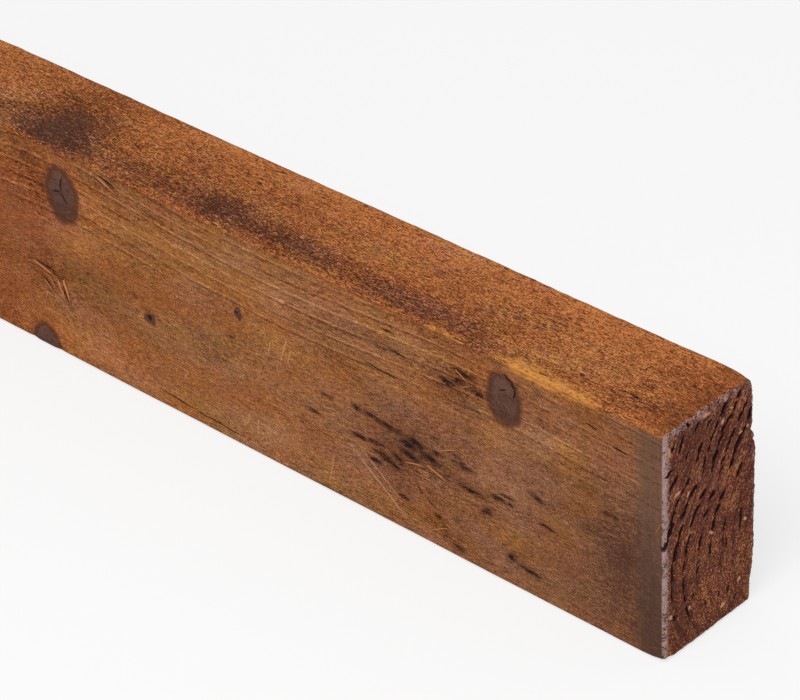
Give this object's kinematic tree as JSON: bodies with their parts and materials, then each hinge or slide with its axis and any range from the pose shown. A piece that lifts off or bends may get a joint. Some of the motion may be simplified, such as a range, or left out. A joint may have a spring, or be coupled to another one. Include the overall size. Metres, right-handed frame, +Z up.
{
  "type": "treated sawn timber",
  "caption": "Straight length of brown preservative-treated sawn softwood, rectangular in section with blunted arrises and crosscut ends, for framing, joists and rails.",
  "frame": {"origin": "middle of the underside, on the level that the timber stands on", "axes": "+X along the length towards the end seen in the picture, +Y from the front wide face to the back one, +Z up from the narrow underside to the narrow top edge"},
  "size_m": [1.8, 0.05, 0.1],
  "materials": {
    "treated_softwood": "rough sawn softwood, brown preservative, dry and matt"
  },
  "bodies": {
    "root": {"sawn_timber": "treated_softwood"}
  },
  "joints": []
}
